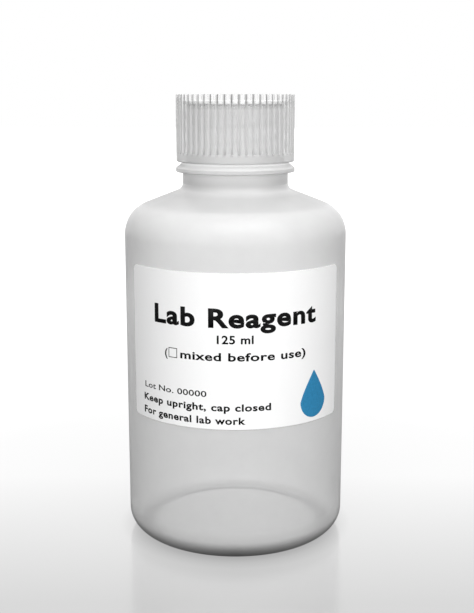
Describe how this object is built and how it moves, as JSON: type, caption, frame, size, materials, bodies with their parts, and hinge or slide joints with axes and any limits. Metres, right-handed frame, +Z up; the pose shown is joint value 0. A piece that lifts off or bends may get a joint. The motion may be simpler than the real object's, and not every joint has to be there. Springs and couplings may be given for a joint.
{
  "type": "laboratory reagent bottle",
  "caption": "Round milky plastic laboratory bottle with a ribbed clear screw cap, a foam seal in the cap and a wrap-round paper label.",
  "frame": {"origin": "middle of the base, on the surface that the bottle stands on", "axes": "+Z up along the bottle's axis to the cap; -Y is the front, where the middle of the label is"},
  "size_m": [0.051, 0.0512, 0.102],
  "materials": {
    "milky_plastic": "satin, translucent",
    "clear_plastic": "gloss, nearly clear",
    "white_foam": "matte foam",
    "label_paper": "satin coated paper"
  },
  "bodies": {
    "bottle": {"bottle": "milky_plastic", "label": "label_paper"},
    "liner": {"cap_liner": "white_foam"},
    "cap": {"cap": "clear_plastic"}
  },
  "joints": [
    {"name": "cap_lift", "type": "slide", "parent": "bottle", "child": "liner", "axis": [0, 0, 1], "range_m": [0, 0.01464]},
    {"name": "cap_turn", "type": "hinge", "parent": "liner", "child": "cap", "pos_m": [0, 0, 0.087], "axis": [0, 0, 1], "range_deg": [0, 810]}
  ],
  "couplings": [
    {"joint": "cap_lift", "follows": "cap_turn", "m_per_rad": 0.0010345}
  ]
}
